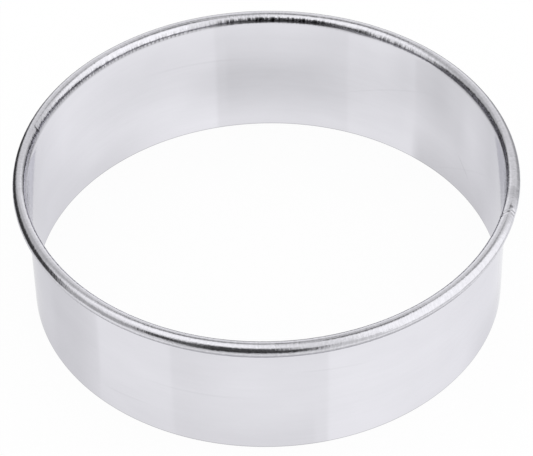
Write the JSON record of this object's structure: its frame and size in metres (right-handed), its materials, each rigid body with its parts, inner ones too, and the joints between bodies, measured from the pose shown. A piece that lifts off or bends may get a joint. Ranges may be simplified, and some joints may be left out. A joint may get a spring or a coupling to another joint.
{
  "type": "biscuit cutter",
  "caption": "Round plain biscuit cutter: a thin bright steel hoop with a straight cutting edge below and an outward rolled, wired rim on top to press on.",
  "frame": {"origin": "centre of the hoop on the plane of its cutting edge", "axes": "+Z along the hoop's axis from the cutting edge towards the rolled rim, +X through the welded seam"},
  "size_m": [0.106, 0.106, 0.0314],
  "materials": {
    "bright_steel": "bright rolled strip, near mirror, with fine grain round the hoop",
    "wire_steel": "plain drawn wire",
    "weld_steel": "weld planished flush with the strip"
  },
  "bodies": {
    "root": {"hoop_strip": "bright_steel", "rim_wire": "wire_steel", "seam_weld": "weld_steel"}
  },
  "joints": []
}
